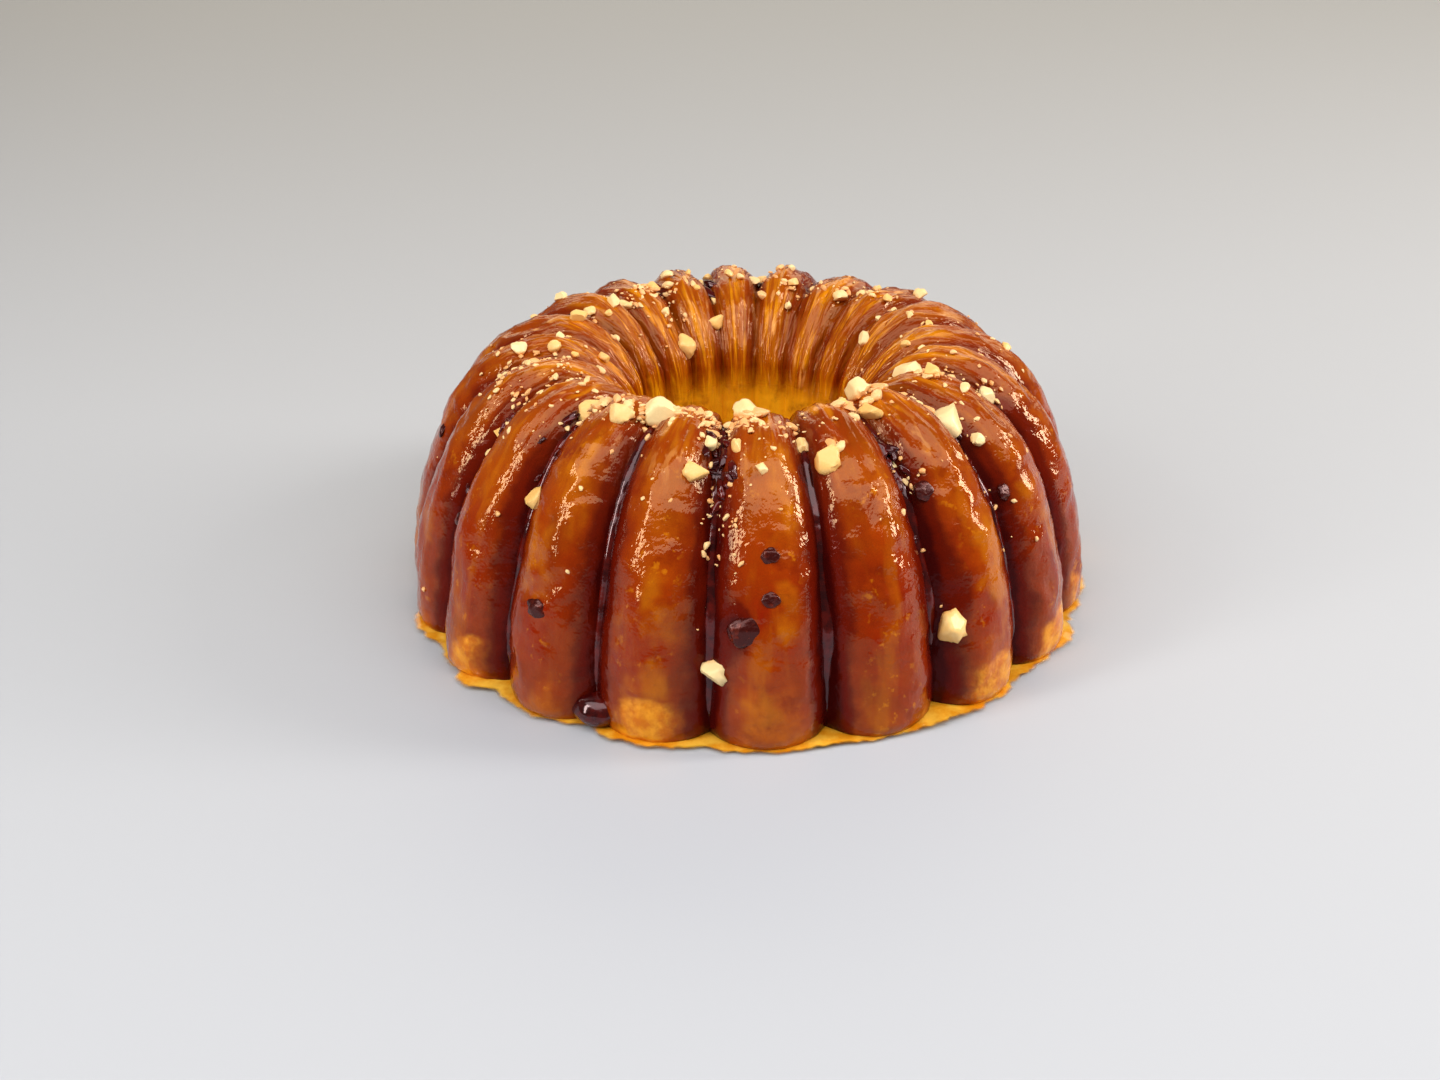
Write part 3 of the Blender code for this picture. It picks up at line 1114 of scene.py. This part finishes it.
@dataclass
class Nuts:
    """Chopped nuts strewn over the crest, with the bits and crumbs that fell with them."""

    ring: Ring
    shown: tuple[Place, ...] = (
        (-154, 0.70, 8, 80), (-171, 0.54, 6, 20), (-68, -0.34, 8, 10), (-68, -0.43, 7, 80),
        (-49, -0.06, 9, 60), (-49, -0.47, 8, 75), (-37, -0.10, 8, 30), (-28, 0.00, 11, 10),
        (-15, -0.28, 7, 0), (-13, -0.13, 5, 50), (-10, -0.83, 9, 15), (-7, -0.17, 5, 70),
        (-5, 0.12, 8, 40), (-2, -0.27, 4, 90), (8, -0.12, 6, 0), (12, -0.24, 9, 65), (24, 0.13, 5, 30),
        (28, -0.28, 4, 0), (30, -0.79, 10, 90), (30, -0.04, 7, 80), (34, 0.25, 10, 20),
        (48, -0.20, 12, 85), (50, -0.33, 5, 0), (58, -0.02, 6, 45), (66, 0.28, 12, 5), (67, -0.24, 7, 30),
    )
    scattered: int = 60
    lengths: Pair = (0.0034, 0.0075)
    way_spread: float = 0.28
    form: Triple = (1.0, 0.85, 0.75)
    sunk: float = 0.25
    seed: int = 7
    crumb_form: Triple = (1.0, 0.62, 0.5)
    chip_scale: float = 1.25
    cuts: int = 6
    tilts: Pair = (-0.3, 0.3)
    sharp: float = math.radians(55)
    finish: NutFinish = NutFinish()
    crumb_finish: NutFinish = NutFinish(cream=linear(250, 212, 150), straw=linear(238, 172, 104))
    bit_lengths: Pair = (0.0030, 0.0068)
    bits: tuple[Patch, ...] = (
        (-80, -0.12, 6, 0.08, 6), (-52, -0.02, 3, 0.03, 5), (-47, -0.05, 1.5, 0.03, 6),
        (-38, -0.07, 1.5, 0.03, 8), (-31, -0.03, 1.2, 0.02, 4), (-25, 0.00, 2, 0.03, 7),
        (-13, -0.02, 3, 0.04, 10), (-5, -0.02, 3, 0.04, 10), (5, -0.06, 2, 0.03, 5),
        (9, -0.12, 1, 0.02, 4), (14, -0.21, 1.2, 0.03, 5), (24, 0.03, 2, 0.05, 8), (32, 0.02, 2, 0.04, 8),
        (39, 0.15, 3, 0.05, 10), (46, -0.08, 2, 0.06, 8), (62, -0.02, 4, 0.07, 8),
        (-150, 0.10, 8, 0.10, 8), (170, 0.10, 8, 0.10, 5),
    )
    crumb_lengths: Pair = (0.0009, 0.0034)
    patches: tuple[Patch, ...] = (
        (-80, -0.13, 6, 0.10, 90), (-67, 0.06, 4, 0.06, 25), (-65, -0.20, 4, 0.08, 20),
        (-50, -0.14, 4, 0.06, 25), (-37, -0.03, 4, 0.04, 30), (-18, 0.00, 4, 0.05, 20),
        (-11, -0.05, 4, 0.06, 60), (-11, -0.38, 1.2, 0.16, 45), (-7, -0.42, 1.2, 0.15, 20),
        (-1, -0.10, 3, 0.05, 30), (6, -0.05, 3, 0.04, 25), (29, -0.36, 1.2, 0.12, 25),
        (50, -0.25, 4, 0.08, 15), (45, -0.52, 3, 0.10, 8), (60, 0.00, 6, 0.08, 50),
        (67, -0.22, 3, 0.08, 30), (68, 0.50, 4, 0.08, 10), (136, 0.10, 7, 0.08, 35),
        (158, 0.20, 5, 0.07, 25), (-143, 0.12, 8, 0.12, 70), (-157, 0.35, 6, 0.12, 25),
        (180, -0.10, 70, 0.30, 130), (0, -0.15, 60, 0.22, 120),
    )

    def heap(self, places: Sequence[Place], form: Triple, finer: int, seed: int) -> Heap:
        """Chunks at the places.

        Args:
            places: Where the chunks lie.
            form: Length, width and height of a chunk of length 1.
            finer: Subdivisions of the ball that a chunk is cut from.
            seed: Seed of the cuts and tilts.

        Returns:
            The gathered chunks.
        """
        draw = random.Random(seed)
        points, faces = ball(finer)
        heap = Heap()
        for place in places:
            size = np.array(form) * place[2] / 2
            tilt = Euler((draw.uniform(*self.tilts), draw.uniform(*self.tilts), 0))
            local = chopped(points, self.cuts, draw) * size
            heap.add(local, faces, laid(self.ring, place, self.sunk * size[2], tilt), draw.random())
        return heap

    def build(self) -> list[Piece]:
        """Build and dress the nuts.

        Returns:
            The chips, and the bits and crumbs in one piece.
        """
        rule = Strewn(self.ring, self.scattered, 0, self.way_spread, self.lengths, self.seed)
        chips = []
        for number, (angle, way, length, turn) in enumerate(rule.places(self.shown)):
            scale = self.chip_scale if number < len(self.shown) else 1.0
            chips.append((angle, way, length * scale, turn))
        whole = self.heap(chips, self.form, 3, self.seed + 2)
        crumbs = strewn(self.ring, self.patches, self.crumb_lengths, random.Random(self.seed + 1))
        bits = strewn(self.ring, self.bits, self.bit_lengths, random.Random(self.seed + 4))
        fine = self.heap(crumbs + bits, self.crumb_form, 2, self.seed + 3)
        pieces = [
            whole.publish("nut_chips", self.finish.material("nuts"), Slot.NUTS),
            fine.publish("nut_crumbs", self.crumb_finish.material("nut_crumbs"), Slot.NUTS),
        ]
        for piece in pieces:
            piece.data.set_sharp_from_angle(angle=self.sharp)
        return pieces


@dataclass
class Raisins:
    """Raisins that show at the crust, laid out by the solid's rule."""

    ring: Ring
    shown: tuple[Place, ...] = (
        (-64, -0.64, 6, 0), (-40, -0.74, 8, 0), (-5, -0.72, 12, 0), (-1, -0.53, 6, 0),
        (-1, -0.64, 6, 0), (31, -0.41, 9, 0), (50, -0.52, 7, 0),
    )
    scattered: int = 6
    lengths: Pair = (0.006, 0.011)
    way: float = -0.6
    way_spread: float = 0.15
    form: Triple = (0.9, 0.8, 0.36)
    lumps: Pair = (0.3, 1.3)
    lumps_apart: float = 7.7
    sunk: float = -0.35
    seed: int = 3

    def build(self) -> Piece:
        """Build and dress the raisins."""
        rule = Strewn(self.ring, self.scattered, self.way, self.way_spread, self.lengths, self.seed)
        points, faces = ball(4)
        heap = Heap()
        for number, place in enumerate(rule.places(self.shown)):
            size = np.array(self.form) * place[2] / 2
            local = lumpy(points, *self.lumps, self.lumps_apart * number) * size
            heap.add(local, faces, laid(self.ring, place, self.sunk * size[2]), 0.5)
        return heap.publish("raisins", RaisinFinish().material(), Slot.RAISINS)


@dataclass
class Caramel:
    """Thick caramel: a strand down each groove, clots high in some, a bead at one's foot."""

    ring: Ring
    sides: int = 10
    rings: int = 70
    half_width: float = 0.0031
    half_height: float = 0.0027
    start: float = -0.965
    high_number: int = 1
    high_start: float = -0.84
    ends: Pair = (-0.12, 0.15)
    seed: int = 100
    waves: float = 6
    ripples: float = 26
    evenly: float = 0.8
    waved: float = 0.5
    rippled: float = 0.12
    least_thick: float = 0.02
    taper_power: int = 8
    wander: float = 0.006
    high_width: float = 0.6
    wide_from: Pair = (0, -0.5)
    bead_degrees: float = -30
    bead_way: float = -0.965
    bead_size: Triple = (0.0175, 0.011, 0.013)
    bead_lumps: Pair = (0.07, 1.7)
    bead_sunk: float = 0.35
    clots: tuple[Patch, ...] = (
        (-10.6, -0.25, 0.9, 0.12, 16), (-14, -0.15, 1.5, 0.05, 8), (-50, -0.22, 1.2, 0.08, 9),
        (27.9, -0.30, 0.9, 0.10, 14), (47, -0.30, 1.0, 0.10, 6), (-65, -0.45, 1.5, 0.15, 7),
        (120.6, -0.15, 1.2, 0.15, 8), (-171.7, -0.10, 1.2, 0.15, 8), (-121.3, -0.30, 1.2, 0.15, 8),
    )
    clot_lengths: Pair = (0.0030, 0.0075)
    clot_form: Triple = (0.45, 1.0, 0.35)
    clot_lumps: Pair = (0.5, 1.5)
    clot_turn: float = 0.5
    clot_seed: int = 11

    def clotted(self) -> Heap:
        """Clots of caramel caught high in the grooves."""
        draw = random.Random(self.clot_seed)
        points, faces = ball(3)
        heap = Heap()
        for place in strewn(self.ring, self.clots, self.clot_lengths, draw):
            size = np.array(self.clot_form) * place[2] / 2
            local = lumpy(points, *self.clot_lumps, draw.uniform(0, SEED_RANGE)) * size
            turned = (*place[:3], draw.gauss(0, self.clot_turn))
            heap.add(local, faces, laid(self.ring, turned, size[2] / 2), 0.5)
        return heap

    def strand(self, number: int) -> tuple[Array, Faces]:
        """One strand.

        Args:
            number: Which groove it lies in.

        Returns:
            Its points and faces.
        """
        draw = random.Random(self.seed + number)
        angle = (number + 0.5) * self.ring.pitch
        start = self.high_start if number == self.high_number else self.start
        end = draw.uniform(*self.ends)
        rows = []
        for ring in range(self.rings):
            share = ring / (self.rings - 1)
            way = blend(start, end, share)
            wave = noise.noise(Vector((number * 7.3, way * self.waves, 0)))
            ripple = noise.noise(Vector((number * 3.1, way * self.ripples, 5)))
            taper = math.sqrt(max(1 - (2 * share - 1) ** self.taper_power, 0))
            thick = self.evenly + self.waved * wave + self.rippled * ripple
            thick = max(taper * thick, self.least_thick)
            point, outward = self.ring.point(angle + self.wander * wave, way)
            side = outward.cross(Vector((0, 0, 1))).normalized()
            low = float(smooth(*self.wide_from, way))
            wide = self.half_width * blend(self.high_width, 1.0, low) * thick
            tall = self.half_height * thick
            for corner in range(self.sides):
                turn = corner * math.tau / self.sides
                rows.append(tuple(point + side * wide * math.cos(turn) + outward * tall * math.sin(turn)))
        points = np.array(rows)
        faces = sheet_faces(self.rings, self.sides, False)
        faces.append(tuple(range(self.sides)))
        last = (self.rings - 1) * self.sides
        faces.append(tuple(last + side for side in reversed(range(self.sides))))
        return points, faces

    def bead(self) -> tuple[Array, Faces]:
        """The bead, drawn out a little up its groove."""
        points, faces = ball(4)
        point, outward = self.ring.point(self.ring.unswayed(self.bead_degrees), self.bead_way)
        size = np.array(self.bead_size) / 2
        turned = np.array(outward.to_track_quat("Z", "Y").to_matrix())
        centre = np.array(point + outward * self.bead_sunk * size[2])
        return (lumpy(points, *self.bead_lumps) * size) @ turned.T + centre, faces

    def build(self) -> list[Piece]:
        """Build and dress the caramel.

        Returns:
            The strands, the bead and the clots.
        """
        material = CaramelFinish().material()
        strands = Heap()
        for number in range(self.ring.flutes):
            strands.add(*self.strand(number), Matrix(), 0.5)
        return [
            strands.publish("caramel_strands", material, Slot.CARAMEL),
            publish("caramel_bead", *self.bead(), material, Slot.CARAMEL),
            self.clotted().publish("caramel_clots", material, Slot.CARAMEL),
        ]


@dataclass
class Syrup:
    """Thin syrup that has run down and set round the foot."""

    ring: Ring
    least: float = 0.0003
    reach: float = 0.0076
    thickness: float = 0.0009
    pooled: float = 260.0
    thin_reach: float = 0.0045
    lobes: float = 4.5
    at_nose: float = 0.25
    into_groove: float = 0.35
    columns: int = 1200
    inner: float = 0.104
    rim_section: tuple[Triple, ...] = ((1, 0, 0), (1, 0, 0.35), (1, -0.0004, 0.75), (1, -0.0012, 1))
    inner_shares: tuple[float, ...] = (0.94, 0.88, 0.81, 0.74, 0.5, 0.25, 0.0)
    fringe: float = 0.0022
    ragged: tuple[Triple, ...] = ((16, 3, 1.0), (40, 9, 0.5))
    ripples: float = 30
    rippled: float = 0.25
    inner_swell: float = 0.5
    pools: tuple[Triple, ...] = (
        (-74, 8, 3.0), (-52, 7, 3.5), (-22, 8, 2.5), (8, 5, 2.0), (28, 5, 5.0), (63, 6, 4.0),
        (86, 9, 5.5), (140, 9, 4.0), (-130, 8, 4.0),
    )

    def pool(self, angle: float) -> float:
        """How far a pool of syrup stands out at this angle."""
        seen = math.degrees(float(self.ring.swayed(angle)))
        return max(far * MM * float(hill(seen, middle, wide)) for middle, wide, far in self.pools)

    def rim(self, angle: float) -> float:
        """Radius of the syrup's rim at this angle."""
        fallen = float(self.ring.drop(self.ring.across(angle)))
        lobe = max(noise.noise(on_ring(angle, self.lobes, 0)), 0) * blend(self.at_nose, 1, fallen)
        ragged = sum(part * noise.noise(on_ring(angle, fine, level)) for fine, level, part in self.ragged)
        recess = self.into_groove * self.ring.foot_groove * fallen
        reach = max(self.reach * lobe, self.pool(angle))
        return self.ring.foot_radius - recess + self.least + reach + self.fringe * ragged

    def build(self) -> Piece:
        """Build and dress the syrup.

        Returns:
            A thin closed ring with a rounded rim.
        """
        angles = np.arange(self.columns) * math.tau / self.columns
        rims = np.array([self.rim(angle) for angle in angles])
        deeper = np.array([1 + self.pooled * self.pool(angle) for angle in angles])
        around = self.ring.swayed(angles)
        inside = [(share, 0, 1 + self.inner_swell * (1 - share)) for share in self.inner_shares]
        rows, thinning = [], []
        for share, inset, tall in (*self.rim_section, *inside, (0, 0, 0)):
            radius = blend(self.inner, rims, share) + inset
            thinning.append(np.clip(1 - (rims - radius) / self.thin_reach, 0, 1))
            places = [on_ring(angle, self.ripples * (0.5 + share), tall) for angle in angles]
            ripple = np.array([1 + self.rippled * noise.noise(place) for place in places])
            height = self.thickness * tall * ripple * deeper
            rows.append(ring_row(around, radius, height))
        faces = sheet_faces(len(rows), self.columns, True)
        layers = {Layer.TONE: np.concatenate(thinning)}
        material = SyrupFinish().material()
        return publish("syrup", np.concatenate(rows), faces, material, Slot.SYRUP, layers)


@dataclass(frozen=True)
class Lamp:
    """Soft rectangular light: its middle, the point it faces, its size, power and colour."""

    name: str
    place: Triple
    aim: Triple
    size: Pair
    watts: float
    colour: Colour

    def hang(self) -> None:
        """Add the light to the scene."""
        data = bpy.data.lights.new(self.name, "AREA")
        data.shape = "RECTANGLE"
        data.size, data.size_y = self.size
        data.energy = self.watts
        data.color = self.colour
        lamp = bpy.data.objects.new(self.name, data)
        lamp.location = self.place
        lamp.visible_camera = False
        towards = Vector(self.aim) - Vector(self.place)
        lamp.rotation_euler = towards.to_track_quat("-Z", "Y").to_euler()
        bpy.context.scene.collection.objects.link(lamp)


@dataclass
class Studio:
    """Floor, light and camera."""

    lamps: tuple[Lamp, ...] = (
        Lamp("overhead", (0.1, -0.62, 1.15), (0.1, -0.62, 0), (2.6, 0.96), 24, (1, 0.96, 0.91)),
        Lamp("right", (1.5, -0.1, 0.75), CAKE_MIDDLE, (0.3, 0.9), 18, (1, 0.92, 0.82)),
        Lamp("left", (-1.3, -0.6, 0.8), CAKE_MIDDLE, (0.25, 0.9), 11, (1, 0.94, 0.84)),
        Lamp("behind", (0.4, 1.7, 0.9), CAKE_MIDDLE, (3.0, 1.0), 17, (1, 0.84, 0.58)),
    )
    air: Colour = (1, 0.92, 0.83)
    air_strength: float = 0.14
    camera_angle: float = math.radians(-4.7)
    camera_rise: float = math.radians(28.2)
    camera_distance: float = 0.721
    focal_pixels: float = 1939.0
    image: tuple[int, int] = (1440, 1080)
    foot_pixel: tuple[int, int] = (747, 573)
    floor_size: float = 12.0
    floor_gap: float = 0.0003

    def camera(self) -> None:
        """Set the camera where the photo was taken from."""
        data = bpy.data.cameras.new("camera")
        camera = bpy.data.objects.new("camera", data)
        bpy.context.scene.collection.objects.link(camera)
        back = on_ring(self.camera_angle, math.cos(self.camera_rise), math.sin(self.camera_rise))
        camera.location = back * self.camera_distance
        camera.rotation_euler = (-back).to_track_quat("-Z", "Y").to_euler()
        width, height = self.image
        data.sensor_width = 36
        data.lens = self.focal_pixels * data.sensor_width / width
        data.shift_x = (width / 2 - self.foot_pixel[0]) / width
        data.shift_y = (self.foot_pixel[1] - height / 2) / width
        data.clip_start = 0.01
        bpy.context.scene.camera = camera

    def floor(self) -> None:
        """Lay the plain pale floor."""
        mesh = bpy.data.meshes.new("floor")
        half = self.floor_size / 2
        square = [(-half, -half), (half, -half), (half, half), (-half, half)]
        mesh.from_pydata([(x, y, -self.floor_gap) for x, y in square], [], [(0, 1, 2, 3)])
        mesh.materials.append(FloorFinish().material())
        floor = bpy.data.objects.new("floor", mesh)
        bpy.context.scene.collection.objects.link(floor)
        floor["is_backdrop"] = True

    def build(self) -> None:
        """Set up the floor, the lights, the air and the camera."""
        self.floor()
        for lamp in self.lamps:
            lamp.hang()
        world = bpy.data.worlds.new("air")
        bpy.context.scene.world = world
        world.use_nodes = True
        air = world.node_tree.nodes["Background"]
        air.inputs["Color"].default_value = (*self.air, 1)
        air.inputs["Strength"].default_value = self.air_strength
        self.camera()
        bpy.context.scene.view_settings.view_transform = "Standard"


def corners(box: tuple[Vector, Vector]) -> list[list[float]]:
    """A box's lowest and highest corner as plain lists."""
    return [list(corner) for corner in box]


def main() -> None:
    """Dress the cake."""
    logging.basicConfig(level=logging.INFO, format="%(name)s %(message)s")
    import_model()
    solid_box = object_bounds()
    ring = Ring()
    for part in (Crust(ring), Caramel(ring), Nuts(ring), Raisins(ring), Syrup(ring), Studio()):
        part.build()
    {"cad": corners(solid_box), "visual": corners(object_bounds())}


if __name__ == "__main__":
    main()
